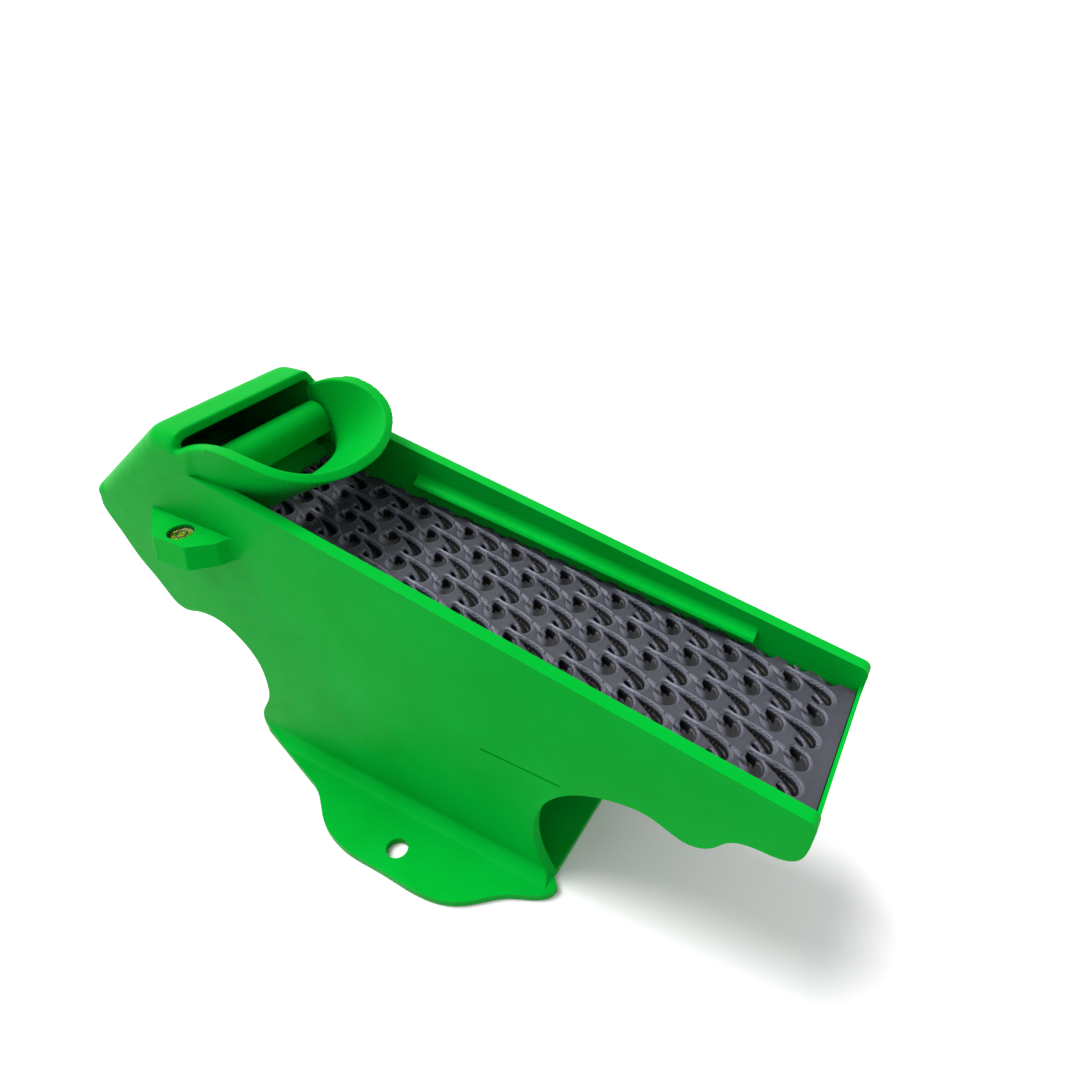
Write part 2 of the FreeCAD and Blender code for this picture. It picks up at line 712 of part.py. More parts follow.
# weir: rounded bar on a plate that stands on the tank's front wall
weir_plate_z = str(round(deck_top(size("tank_front_x")), 3))
throat_low = str(round(mat_top(size("throat_front_x")) + size("throat_above_mat")
                       - size("hopper_thick") - 1.0, 3))
weir_span = ("weir_end_gap - inner_wide / 2", "inner_wide / 2 - weir_end_gap")
bar = cylinder("WeirRound", "y", "weir_rad", *weir_span, "weir_x", "weir_z")
apron = box("WeirApron", ("weir_x", "weir_x + weir_rad"), weir_span, ("weir_z - weir_apron", "weir_z"))
plate_x = ("tank_front_x", "tank_front_x + tank_wall")
plate_low = box("WeirPlateLow", plate_x, ("-inner_wide / 2 + 0.1", "inner_wide / 2 - 0.1"),
                (weir_plate_z, throat_low))
plate_high = box("WeirPlateHigh", plate_x, weir_span, (throat_low, "weir_z"))
node(fuse("Weir", bar, apron, plate_low, plate_high), "weir_bar")

# bullseye level in its shelf pocket
level_y = "-(inner_wide / 2 + wall_thick + level_out)"
level_top = "(shelf_z - level_sink)"
case = cylinder("LevelCaseOuter", "z", "level_rad", "shelf_z - level_deep", level_top, "level_x", level_y)
case_bore = cylinder("LevelCaseBore", "z", "level_rad - 0.8", "shelf_z - level_deep + 1", "shelf_z + 1",
                     "level_x", level_y)
node(cut("LevelCase", case, case_bore), "level_case")
lens = cylinder("LevelLensDisc", "z", "level_rad - 0.85", level_top + " - 1.8", level_top + " - 0.2",
                "level_x", level_y)
node(lens, "level_lens")
node(cylinder("LevelFluidDisc", "z", "level_rad - 0.85", "shelf_z - level_deep + 1.05",
              level_top + " - 1.95", "level_x", level_y), "level_fluid")
node(torus("LevelRingLoop", "z", "level_rad * 0.42", "0.22", level_top + " + 0.03", "level_x", level_y),
     "level_ring")

# pump: housing with rotor tunnel, volute chamber and outlet spigot
axis_z = "(base_thick + pump_foot_tall + pump_tall / 2)"
housing_low = "(base_thick + pump_foot_tall)"
chamber_x = "(pump_front_x - impeller_deep - 2 * chamber_gap)"
outlet_x = "(pump_front_x - hose_rad + 0.6)"
outlet_top = "(%s + pump_tall + 16)" % housing_low
block = box("PumpBlock", ("pump_back_x", "pump_front_x"), ("-pump_wide / 2", "pump_wide / 2"),
            (housing_low, housing_low + " + pump_tall"))
spigot = cylinder("SpigotSolid", "z", "hose_bore - barb_fit", housing_low + " + pump_tall - 2", outlet_top,
                  outlet_x, "0")
spigot_bore = cylinder("SpigotBore", "z", "hose_bore - 1.6", housing_low + " + pump_tall - 3",
                       outlet_top + " + 1", outlet_x, "0")
node(cut("OutletSpigot", spigot, spigot_bore), "pump_outlet_spigot")
socket = cylinder("SpigotSocket", "z", "hose_bore", housing_low + " + pump_tall - 2",
                  housing_low + " + pump_tall + 1", outlet_x, "0")
tunnel_end = "(%s - rotor_long - 3)" % chamber_x
tunnel = cylinder("RotorTunnel", "x", "rotor_rad + rotor_gap", tunnel_end, chamber_x + " + 1", "0", axis_z)
chamber = cylinder("VoluteChamber", "x", "impeller_rad + chamber_gap", chamber_x, "pump_front_x + 1",
                   "0", axis_z)
outlet = cylinder("OutletBore", "z", "hose_bore - 1.6", axis_z, outlet_top + " + 1", outlet_x, "0")
bush_seat = cylinder("RearBushSeat", "x", "3.0", tunnel_end + " - 3", tunnel_end + " + 1", "0", axis_z)
sleeve = "rotor_rad + rotor_gap + 1.2"
bay_block = box("MotorBayBlock", ("pump_back_x + 2", chamber_x + " - 1.5"),
                ("-pump_wide / 2 + 1.6", "pump_wide / 2 - 1.6"),
                (axis_z + " - 9", housing_low + " + pump_tall - 1.4"))
bay_sleeve = cylinder("MotorBaySleeve", "x", sleeve, "pump_back_x", chamber_x, "0", axis_z)
core_bay = cut("MotorBay", bay_block, bay_sleeve)
gland_hole = cylinder("GlandHole", "x", "3.5", "pump_back_x - 1", "pump_back_x + 3", "0",
                      axis_z + " + 13.5")
node(cut("PumpHousing", block, tunnel, chamber, outlet, socket, bush_seat, core_bay, gland_hole),
     "pump_housing")

# motor: U-shaped laminated core either side of the tunnel, its coil round the yoke
core_x = ("pump_back_x + 7", chamber_x + " - 6")
yoke_z = (axis_z + " + 11.6", axis_z + " + 14.8")
core_block = box("CoreBlock", core_x, ("-pump_wide / 2 + 2.4", "pump_wide / 2 - 2.4"),
                 (axis_z + " - 7", yoke_z[1]))
core_window = box("CoreWindow", ("pump_back_x", chamber_x), ("-9.6", "9.6"), (axis_z + " - 8", yoke_z[0]))
core_sleeve = cylinder("CoreSleeve", "x", sleeve + " + 0.15", "pump_back_x", chamber_x, "0", axis_z)
node(cut("Core", core_block, core_window, core_sleeve), "pump_core")
coil_block = box("CoilBlock", (core_x[0] + " - 1.8", core_x[1] + " + 1.8"), ("-8", "8"),
                 (axis_z + " + 10", axis_z + " + 16.8"))
coil_core = box("CoilWindow", (core_x[0] + " - 0.1", core_x[1] + " + 0.1"), ("-9", "9"),
                (yoke_z[0] + " - 0.1", yoke_z[1] + " + 0.1"))
node(cut("Coil", coil_block, coil_core), "pump_coil")

node(cylinder("ShaftRod", "x", "shaft_rad", tunnel_end + " - 3", "pump_front_x + 2.6", "0", axis_z),
     "pump_shaft")


def ring(name, label, radius, bore, low, high):
    outer = cylinder(name + "Outer", "x", radius, low, high, "0", axis_z)
    inner = cylinder(name + "Bore", "x", bore, low + " - 1", high + " + 1", "0", axis_z)
    return node(cut(name, outer, inner), label)


ring("RearBush", "rear_shaft_bush", "2.95", "shaft_rad", tunnel_end + " - 3", tunnel_end + " + 0.4")
ring("Magnet", "pump_magnet", "rotor_rad", "shaft_rad + shaft_fit", tunnel_end + " + 1.5",
     chamber_x + " - 1")


def impeller():
    """Six straight blades on a hub and back disc."""
    hub = cylinder("ImpellerHub", "x", "3.2", chamber_x + " - 1", "pump_front_x - chamber_gap", "0", axis_z)
    disc = cylinder("ImpellerDisc", "x", "impeller_rad", chamber_x + " + chamber_gap",
                    chamber_x + " + chamber_gap + 1.4", "0", axis_z)
    blades = []
    for step in range(3):
        blade = box("ImpellerBlade%d" % (step + 1),
                    (chamber_x + " + chamber_gap", "pump_front_x - chamber_gap"),
                    ("-impeller_rad + 0.3", "impeller_rad - 0.3"), ("-0.6", "0.6"))
        blade.Placement = Placement(Vector(), Rotation(Vector(1, 0, 0), 60 * step))
        angle = math.radians(60 * step)
        bind(blade, "Placement.Base.y", "-(impeller_rad - 0.3) * %.6f + 0.6 * %.6f"
             % (math.cos(angle), math.sin(angle)))
        bind(blade, "Placement.Base.z", "%s - (impeller_rad - 0.3) * %.6f - 0.6 * %.6f"
             % (axis_z, math.sin(angle), math.cos(angle)))
        blades.append(blade)
    bore = cylinder("ImpellerBore", "x", "shaft_rad + shaft_fit", chamber_x + " - 2", "pump_front_x + 1",
                    "0", axis_z)
    return node(cut("Impeller", fuse("ImpellerSolid", hub, disc, *blades), bore), "pump_impeller")


impeller()

# chamber cover with its inlet eye, spider and front bush
plate = cylinder("ChamberPlate", "x", "impeller_rad + 3", "pump_front_x", "pump_front_x + 2", "0", axis_z)
eye = cylinder("ChamberEye", "x", "6", "pump_front_x - 1", "pump_front_x + 3", "0", axis_z)
spoke = box("ChamberSpoke", ("pump_front_x", "pump_front_x + 2"), ("-7", "7"),
            (axis_z + " - 1.2", axis_z + " + 1.2"))
boss = cylinder("ChamberBoss", "x", "3.4", "pump_front_x", "pump_front_x + 2.6", "0", axis_z)
boss_bore = cylinder("ChamberBossBore", "x", "2.2", "pump_front_x - 1", "pump_front_x + 4", "0", axis_z)
cover_open = cut("ChamberOpen", plate, eye)
node(cut("ChamberCover", fuse("ChamberJoined", cover_open, spoke, boss), boss_bore), "pump_chamber_cover")
ring("FrontBush", "front_shaft_bush", "2.15", "shaft_rad", "pump_front_x", "pump_front_x + 2.6")
node(torus("SealRing", "x", "impeller_rad + 4.0", "0.9", "pump_front_x + 0.95", "0", axis_z),
     "pump_seal_ring")

# intake cover: open-backed cap with slots, and the flow dial in front of it
cap_x = ("pump_front_x", "pump_front_x + cover_long")
cap = box("IntakeCap", cap_x, ("-pump_wide / 2", "pump_wide / 2"),
          (housing_low, housing_low + " + pump_tall"))
room = box("IntakeRoom", ("pump_front_x - 1", "pump_front_x + cover_long - cover_wall"),
           ("-pump_wide / 2 + cover_wall", "pump_wide / 2 - cover_wall"),
           (housing_low + " + cover_wall", housing_low + " + pump_tall - cover_wall"))
slots = []
for count in range(5):
    offset = "%d * 5.0" % (count - 2)
    slots.append(box("IntakeSlot%d" % (count + 1),
                     ("pump_front_x + cover_long - 4", "pump_front_x + cover_long + 1"),
                     (offset + " - 1.2", offset + " + 1.2"), (axis_z + " - 14", axis_z + " - 4.5")))
pivot_hole = cylinder("DialPivotHole", "x", "2.05", "pump_front_x + cover_long - 4",
                      "pump_front_x + cover_long + 1", "0", axis_z)
node(cut("IntakeCover", cap, room, pivot_hole, *slots), "pump_intake_cover")

dial_low = "pump_front_x + cover_long + dial_gap"
dial = cylinder("DialDisc", "x", "dial_rad", dial_low, dial_low + " + dial_thick", "0", axis_z)
dial_window = cylinder("DialWindow", "x", "3.2", dial_low + " - 1", dial_low + " + 4", "0",
                       axis_z + " + 6.5")
dial_grip = box("DialGrip", (dial_low + " + dial_thick - 0.5", dial_low + " + dial_thick + 3"), ("-7", "7"),
                (axis_z + " - 1.2", axis_z + " + 1.2"))
dial_pin = cylinder("DialPin", "x", "2.0", "pump_front_x + cover_long - cover_wall - 1.5",
                    dial_low + " + 0.5",
                    "0", axis_z)
node(fuse("FlowDial", cut("DialCut", dial, dial_window), dial_grip, dial_pin), "pump_flow_dial")

# suction feet and cable gland
feet = []
for index, (fx, fy) in enumerate(((6, 11), (6, -11), (32, 11), (32, -11))):
    feet.append(cone("SuctionFoot%d" % (index + 1), "z", "5.0", "2.6", "base_thick", housing_low,
                     "pump_back_x + %d" % fx, str(fy)))
node(group("SuctionFeet", *feet), "pump_suction_feet")
gland_z = axis_z + " + 13.5"
gland = fuse("GlandSolid",
             cylinder("GlandStem", "x", "3.45", "pump_back_x - 1.5", "pump_back_x + 2.5", "0", gland_z),
             cone("GlandNose", "x", "3.0", "4.6", "pump_back_x - 9", "pump_back_x - 1", "0", gland_z))
gland_bore = cylinder("GlandBore", "x", "1.9", "pump_back_x - 10", "pump_back_x + 3", "0", gland_z)
node(cut("CableGland", gland, gland_bore), "pump_cable_gland")

# tank inlet: barbed tail through the tank's front wall, washer and nut
inlet_face = "(tank_front_x + tank_wall)"
inlet_tail = cylinder("InletTail", "x", "hose_bore - barb_fit", inlet_face, inlet_face + " + 16", "0",
                      "inlet_z")
inlet_collar = cylinder("InletCollar", "x", "9.5", inlet_face + " + 1.6", inlet_face + " + 4.1", "0",
                        "inlet_z")
inlet_thread = cylinder("InletThread", "x", "hose_bore + 1.1", "tank_front_x - 8", inlet_face + " + 3",
                        "0", "inlet_z")
inlet_bore = cylinder("InletBore", "x", "hose_bore - 1.6", "tank_front_x - 9", inlet_face + " + 17", "0",
                      "inlet_z")
node(cut("InletFitting", fuse("InletSolid", inlet_tail, inlet_collar, inlet_thread), inlet_bore),
     "inlet_fitting")


def inlet_ring(name, label, radius, low, high):
    outer = cylinder(name + "Outer", "x", radius, low, high, "0", "inlet_z")
    bore = cylinder(name + "Bore", "x", "hose_bore + 1.15", low + " - 1", high + " + 1", "0", "inlet_z")
    return node(cut(name, outer, bore), label)


inlet_ring("InletWasher", "inlet_washer", "9.5", inlet_face, inlet_face + " + 1.6")


def inlet_nut():
    """Hexagonal nut inside the tank."""
    prism = doc.addObject("Part::Prism", "InletNutPrism")
    prism.Polygon = 6
    prism.Placement = Placement(Vector(), TURN["x"])
    bind(prism, "Circumradius", "10")
    bind(prism, "Height", "5")
    bind(prism, "Placement.Base.x", "tank_front_x - 5")
    bind(prism, "Placement.Base.z", "inlet_z")
    bore = cylinder("InletNutBore", "x", "hose_bore + 1.15", "tank_front_x - 6", "tank_front_x + 1", "0",
                    "inlet_z")
    return node(cut("InletNut", prism, bore), "inlet_nut")


inlet_nut()


def delivery_hose():
    """Hose from the pump's spigot up and round to the tank inlet: run, arc, run."""
    x = size("pump_front_x") - size("hose_rad") + 0.6
    low = size("base_thick") + size("pump_foot_tall") + size("pump_tall") + 0.5
    bend = size("hose_bend")
    high = size("inlet_z")
    end = size("tank_front_x") + size("tank_wall") + 4.2
    start = Vector(x, 0, low)
    knee = Vector(x, 0, high - bend)
    turn = Vector(x - bend * (1 - math.cos(math.pi / 4)), 0, high - bend * (1 - math.sin(math.pi / 4)))
    after = Vector(x - bend, 0, high)
    last = Vector(end, 0, high)
    path = Part.Wire([Part.makeLine(start, knee), Part.Arc(knee, turn, after).toShape(),
                      Part.makeLine(after, last)])
    circles = []
    for radius in (size("hose_rad"), size("hose_bore")):
        loop = Part.Wire(Part.makeCircle(radius, start, Vector(0, 0, 1)))
        circles.append(path.makePipeShell([loop], True, False))
    return circles[0].cut(circles[1])


node(feature("Hose", delivery_hose()), "delivery_hose")

clip_outer = "hose_rad + 1.2"
clip_one = cut("ClipOne", cylinder("ClipOneOuter", "z", clip_outer, housing_low + " + pump_tall + 4",
                                   housing_low + " + pump_tall + 10", outlet_x, "0"),
               cylinder("ClipOneBore", "z", "hose_rad", housing_low + " + pump_tall",
                        housing_low + " + pump_tall + 12",
                        outlet_x, "0"))
clip_two = cut("ClipTwo",
               cylinder("ClipTwoOuter", "x", clip_outer, inlet_face + " + 7", inlet_face + " + 13",
                                   "0", "inlet_z"),
               cylinder("ClipTwoBore", "x", "hose_rad", inlet_face + " + 6", inlet_face + " + 14", "0",
                        "inlet_z"))
node(group("HoseClips", clip_one, clip_two), "hose_clips")

# ---------------------------------------------------------------- checks and export

doc.recompute()
for thing in doc.Objects:
    if "Invalid" in thing.State or "Error" in thing.State:
        raise RuntimeError("%s failed: %s" % (thing.Name, thing.State))
for piece in NODES:
    if piece.Shape.isNull() or not piece.Shape.isValid():
        raise RuntimeError("%s has no valid shape" % piece.Label)
os.makedirs("parts", exist_ok=True)
for piece in NODES:
    piece.Shape.exportStep("parts/%s.step" % piece.Label)
    bounds = piece.Shape.BoundBox
    print("%-20s solids %d  volume %9.1f  x %.1f..%.1f y %.1f..%.1f z %.1f..%.1f" % (
        piece.Label, len(piece.Shape.Solids), piece.Shape.Volume, bounds.XMin, bounds.XMax,
        bounds.YMin, bounds.YMax, bounds.ZMin, bounds.ZMax))
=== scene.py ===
import math

import bmesh
import bpy
import numpy as np
from mathutils import Matrix, Vector


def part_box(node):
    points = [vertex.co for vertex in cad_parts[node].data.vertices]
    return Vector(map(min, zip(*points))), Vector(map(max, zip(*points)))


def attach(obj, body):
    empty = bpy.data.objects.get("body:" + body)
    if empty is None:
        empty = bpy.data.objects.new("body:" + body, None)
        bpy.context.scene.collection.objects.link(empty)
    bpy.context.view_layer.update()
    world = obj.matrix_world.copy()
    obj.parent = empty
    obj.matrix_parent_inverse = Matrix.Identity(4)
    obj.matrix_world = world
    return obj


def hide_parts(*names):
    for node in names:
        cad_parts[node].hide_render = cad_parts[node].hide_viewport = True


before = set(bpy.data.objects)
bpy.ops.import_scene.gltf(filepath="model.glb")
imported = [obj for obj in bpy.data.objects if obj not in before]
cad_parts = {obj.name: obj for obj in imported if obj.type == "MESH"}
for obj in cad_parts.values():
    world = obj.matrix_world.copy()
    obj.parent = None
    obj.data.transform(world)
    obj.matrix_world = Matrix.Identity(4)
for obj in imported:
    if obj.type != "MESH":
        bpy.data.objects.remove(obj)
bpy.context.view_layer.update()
MM = 0.001

# ---------------------------------------------------------------- places read from the frame

BODY_LOW, BODY_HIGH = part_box("sluice_body")
HOOD_LOW, HOOD_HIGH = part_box("header_hood")
TAIL_X = BODY_HIGH.x
BACK_X = BODY_LOW.x
OUTER_HALF = (HOOD_HIGH.y - HOOD_LOW.y) / 2

# sizes that the frame's boxes do not give, the same as in the CAD
WALL = 5.7 * MM
INNER_HALF = OUTER_HALF - WALL
MAT_SLOPE = math.radians(7.195)
RAIL_SLOPE = math.radians(10.43)
RAIL_TAIL_Z = 131.6 * MM
MOUTH_X = -104.0 * MM
WELD = 2e-6


def rail_top(x):
    """Height of the side walls' top edge."""
    return RAIL_TAIL_Z + (TAIL_X - x) * math.tan(RAIL_SLOPE)


def hood_seam(x):
    """Height of the joint between the walls and the hood, behind the mouth."""
    low = HOOD_LOW.z
    return low + (x - BACK_X) * (rail_top(MOUTH_X) - low) / (MOUTH_X - BACK_X)


# ---------------------------------------------------------------- node helpers

class Graph:
    """Short calls for building a node material."""

    def __init__(self, name):
        self.material = bpy.data.materials.new(name)
        self.material.use_nodes = True
        self.tree = self.material.node_tree
        self.tree.nodes.clear()
        self.output = self.tree.nodes.new("ShaderNodeOutputMaterial")
        self.shader = self.tree.nodes.new("ShaderNodeBsdfPrincipled")
        self.link(self.shader.outputs[0], self.output.inputs["Surface"])
        self.coords = self.tree.nodes.new("ShaderNodeTexCoord").outputs["Object"]

    def link(self, source, target):
        self.tree.links.new(source, target)

    def set(self, **values):
        for name, value in values.items():
            self.shader.inputs[name.replace("_", " ")].default_value = value

    def scaled(self, x, y, z):
        mapping = self.tree.nodes.new("ShaderNodeMapping")
        mapping.inputs["Scale"].default_value = (x, y, z)
        self.link(self.coords, mapping.inputs["Vector"])
        return mapping.outputs[0]

    def noise(self, scale, detail=4.0, rough=0.55, vector=None):
        texture = self.tree.nodes.new("ShaderNodeTexNoise")
        texture.inputs["Scale"].default_value = scale
        texture.inputs["Detail"].default_value = detail
        texture.inputs["Roughness"].default_value = rough
        self.link(vector or self.coords, texture.inputs["Vector"])
        return texture.outputs["Fac"]

    def cells(self, scale):
        texture = self.tree.nodes.new("ShaderNodeTexVoronoi")
        texture.inputs["Scale"].default_value = scale
        self.link(self.coords, texture.inputs["Vector"])
        return texture.outputs["Distance"]

    def level_bands(self, scale, distortion, vector):
        """Faint bands that lie flat, one above the other."""
        texture = self.tree.nodes.new("ShaderNodeTexWave")
        texture.bands_direction = "Z"
        texture.inputs["Scale"].default_value = scale
        texture.inputs["Distortion"].default_value = distortion
        texture.inputs["Detail"].default_value = 2.0
        self.link(vector, texture.inputs["Vector"])
        return texture.outputs["Fac"]

    def ramp(self, source, stops):
        ramp = self.tree.nodes.new("ShaderNodeValToRGB")
        self.link(source, ramp.inputs["Fac"])
        while len(ramp.color_ramp.elements) < len(stops):
            ramp.color_ramp.elements.new(0.5)
        for element, (place, color) in zip(ramp.color_ramp.elements, stops):
            element.position = place
            element.color = (*color, 1.0)
        return ramp.outputs["Color"]

    def grey(self, source, stops):
        return self.ramp(source, [(place, (value, value, value)) for place, value in stops])

    def color(self, source):
        self.link(source, self.shader.inputs["Base Color"])

    def roughness(self, source):
        self.link(source, self.shader.inputs["Roughness"])

    def bump(self, layers):
        """Stack (height source, strength, distance) bumps."""
        normal = None
        for height, strength, distance in layers:
            node = self.tree.nodes.new("ShaderNodeBump")
            node.inputs["Strength"].default_value = strength
            node.inputs["Distance"].default_value = distance
            self.link(height, node.inputs["Height"])
            if normal:
                self.link(normal, node.inputs["Normal"])
            normal = node.outputs["Normal"]
        self.link(normal, self.shader.inputs["Normal"])


def green_plastic():
    """Saturated green plastic: satin, faint mottling, flat layers and a fine skin."""
    g = Graph("green_plastic")
    g.set(Specular_IOR_Level=0.25, IOR=1.14)
    g.shader.inputs["Specular Tint"].default_value = (0.10, 1.0, 0.35, 1)
    mottle = g.noise(22.0, 5.0, 0.6)
    g.color(g.ramp(mottle, [(0.30, (0.0002, 0.240, 0.015)), (0.52, (0.0003, 0.262, 0.019)),
                            (0.75, (0.0004, 0.284, 0.024))]))
    g.roughness(g.grey(g.noise(140.0, 4.0), [(0.30, 0.34), (0.70, 0.46)]))
    skin = g.noise(900.0, 2.0, 0.5)
    drift = g.noise(60.0, 3.0, 0.5)
    layers = g.level_bands(95.0, 0.8, g.scaled(0.02, 0.02, 1.0))
    g.bump([(drift, 0.08, 0.0010), (layers, 0.05, 0.0004), (skin, 0.08, 0.0003)])
    return g.material


def mat_rubber():
    """Blue-grey moulded rubber, with a painted highlight on its ridges and painted shade in its
    pits, set by the mesh's own "relief" value.
    """
    g = Graph("mat_rubber")
    g.set(Specular_IOR_Level=0.30, IOR=1.5)
    cloud = g.ramp(g.noise(45.0, 6.0, 0.65), [(0.30, (0.110, 0.113, 0.148)),
                                             (0.55, (0.135, 0.138, 0.182)),
                                             (0.80, (0.165, 0.168, 0.220))])
    relief = g.tree.nodes.new("ShaderNodeAttribute")
    relief.attribute_name = "relief"
    # painted light: plain face at 0.24, a painted highlight up to 0.90 on ridges, painted shade
    # down to near black in pits
    painted_highlight_shade = g.grey(relief.outputs["Fac"], [(0.0, 0.24), (0.20, 0.90), (0.50, 0.06), (0.85, 0.004)])
    blend = g.tree.nodes.new("ShaderNodeMix")
    blend.data_type = "RGBA"
    blend.blend_type = "MULTIPLY"
    blend.inputs["Factor"].default_value = 1.0
    g.link(cloud, blend.inputs["A"])
    g.link(painted_highlight_shade, blend.inputs["B"])
    g.color(blend.outputs["Result"])
    g.roughness(g.grey(g.noise(300.0, 3.0), [(0.3, 0.42), (0.7, 0.58)]))
    g.bump([(g.noise(700.0, 3.0, 0.6), 0.18, 0.0004), (g.cells(1500.0), 0.08, 0.0002)])
    return g.material


def plain_plastic(name, dark, light, rough, grain=600.0, specular=0.5):
    """Clouded plastic, ceramic or rubber with a fine grain."""
    g = Graph(name)
    g.set(Specular_IOR_Level=specular)
    g.color(g.ramp(g.noise(60.0, 4.0), [(0.3, dark), (0.7, light)]))
    g.roughness(g.grey(g.noise(180.0, 3.0), [(0.3, rough - 0.06), (0.7, rough + 0.08)]))
    g.bump([(g.noise(grain, 3.0), 0.12, 0.0003)])
    return g.material


def metal(name, dark, light, rough):
    """Metal brushed along X."""
    g = Graph(name)
    g.set(Metallic=1.0)
    brushed = g.noise(1.0, 3.0, 0.6, g.scaled(40.0, 900.0, 900.0))
    g.color(g.ramp(g.noise(50.0, 3.0), [(0.3, dark), (0.7, light)]))
    g.roughness(g.grey(brushed, [(0.3, rough - 0.07), (0.7, rough + 0.1)]))
    g.bump([(brushed, 0.12, 0.0003)])
    return g.material


def clear_plastic(name, tint, rough):
    g = Graph(name)
    g.set(Transmission_Weight=1.0, IOR=1.45)
    brighter = tuple(min(1, channel * 1.05) for channel in tint)
    g.color(g.ramp(g.noise(90.0, 2.0), [(0.3, tint), (0.7, brighter)]))
    g.roughness(g.grey(g.noise(300.0, 2.0), [(0.3, rough), (0.7, rough + 0.05)]))
    g.bump([(g.noise(260.0, 2.0), 0.03, 0.0002)])
    return g.material


def level_liquid():
    g = Graph("level_fluid")
    g.set(Transmission_Weight=0.25, IOR=1.36)
    g.color(g.ramp(g.noise(160.0, 2.0), [(0.3, (0.16, 0.26, 0.012)), (0.7, (0.42, 0.52, 0.03))]))
    g.roughness(g.grey(g.noise(200.0, 2.0), [(0.3, 0.04), (0.7, 0.10)]))
    return g.material


def hose_vinyl():
    g = Graph("hose_vinyl")
    g.set(Transmission_Weight=0.45, IOR=1.5)
    g.color(g.ramp(g.noise(80.0, 3.0), [(0.3, (0.50, 0.55, 0.52)), (0.7, (0.66, 0.70, 0.67))]))
    g.roughness(g.grey(g.noise(220.0, 3.0), [(0.3, 0.22), (0.7, 0.34)]))
    g.bump([(g.noise(300.0, 2.0), 0.06, 0.0003)])
    return g.material


GREEN = green_plastic()
MAT_RUBBER = mat_rubber()
BLACK_GLOSS = plain_plastic("level_black", (0.008, 0.008, 0.008), (0.016, 0.016, 0.016), 0.22)
PUMP_BLACK = plain_plastic("pump_black", (0.010, 0.010, 0.011), (0.020, 0.020, 0.022), 0.36,
                           grain=900.0)
FITTING_BLACK = plain_plastic("fitting_black", (0.012, 0.012, 0.012), (0.022, 0.022, 0.022), 0.45,
                              grain=700.0)
SOFT_RUBBER = plain_plastic("soft_rubber", (0.014, 0.014, 0.014), (0.028, 0.028, 0.028), 0.66,
                            grain=1200.0, specular=0.3)
WHITE_PLASTIC = plain_plastic("impeller_white", (0.66, 0.66, 0.62), (0.78, 0.78, 0.74), 0.40)
CERAMIC = plain_plastic("ceramic_white", (0.80, 0.80, 0.77), (0.88, 0.88, 0.85), 0.14)
MOTOR_STEEL = metal("motor_steel", (0.30, 0.30, 0.32), (0.45, 0.45, 0.47), 0.42)
MOTOR_COPPER = metal("motor_copper", (0.55, 0.20, 0.07), (0.75, 0.33, 0.13), 0.34)
FERRITE = plain_plastic("magnet_ferrite", (0.030, 0.030, 0.033), (0.055, 0.055, 0.060), 0.55)
CLIP_STEEL = metal("clip_steel", (0.45, 0.45, 0.46), (0.62, 0.62, 0.63), 0.26)
LEVEL_CLEAR = clear_plastic("level_clear", (0.95, 0.98, 0.85), 0.02)
LEVEL_FLUID = level_liquid()
HOSE_VINYL = hose_vinyl()

NODE_MATERIALS = {
    "sluice_body": GREEN, "header_hood": GREEN, "weir_bar": GREEN, "riffle_mat": MAT_RUBBER,
    "level_case": BLACK_GLOSS, "level_lens": LEVEL_CLEAR, "level_fluid": LEVEL_FLUID,
    "level_ring": BLACK_GLOSS, "pump_housing": PUMP_BLACK, "pump_outlet_spigot": PUMP_BLACK,
    "pump_core": MOTOR_STEEL, "pump_coil": MOTOR_COPPER, "pump_shaft": CERAMIC,
    "rear_shaft_bush": SOFT_RUBBER, "pump_magnet": FERRITE, "pump_impeller": WHITE_PLASTIC,
    "pump_chamber_cover": PUMP_BLACK, "front_shaft_bush": SOFT_RUBBER,
    "pump_seal_ring": SOFT_RUBBER, "pump_intake_cover": PUMP_BLACK, "pump_flow_dial": PUMP_BLACK,
    "pump_suction_feet": SOFT_RUBBER, "pump_cable_gland": SOFT_RUBBER,
    "inlet_fitting": FITTING_BLACK, "inlet_washer": SOFT_RUBBER, "inlet_nut": FITTING_BLACK,
    "delivery_hose": HOSE_VINYL, "hose_clips": CLIP_STEEL,
}
for node_name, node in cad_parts.items():
    node.data.materials.clear()
    node.data.materials.append(NODE_MATERIALS[node_name])


# ---------------------------------------------------------------- mesh helpers

def new_object(name, data):
    thing = bpy.data.objects.new(name, data)
    bpy.context.scene.collection.objects.link(thing)
    return thing


def new_piece(name, mesh, material, body, smooth=True):
    """A visible piece of one material, riding on a body."""
    piece = new_object(name, mesh)
    mesh.materials.clear()
    mesh.materials.append(material)
    if smooth:
        mesh.shade_smooth()
    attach(piece, body)
    return piece


def mesh_from(name, points, faces):
    mesh = bpy.data.meshes.new(name)
    mesh.from_pydata([tuple(point) for point in points], [], faces)
    mesh.validate()
    return mesh


def apply_modifiers(piece):
    """Turn a piece's modifiers into plain mesh."""
    bpy.context.view_layer.update()
    depsgraph = bpy.context.evaluated_depsgraph_get()
    result = bpy.data.meshes.new_from_object(piece.evaluated_get(depsgraph))
    piece.modifiers.clear()
    piece.data = result


def cut(piece, tool):
    """Take the tool's volume out of the piece and remove the tool."""
    modifier = piece.modifiers.new("cut", "BOOLEAN")
    modifier.operation = "DIFFERENCE"
    modifier.solver = "EXACT"
    modifier.object = tool
    apply_modifiers(piece)
    bpy.data.objects.remove(tool)


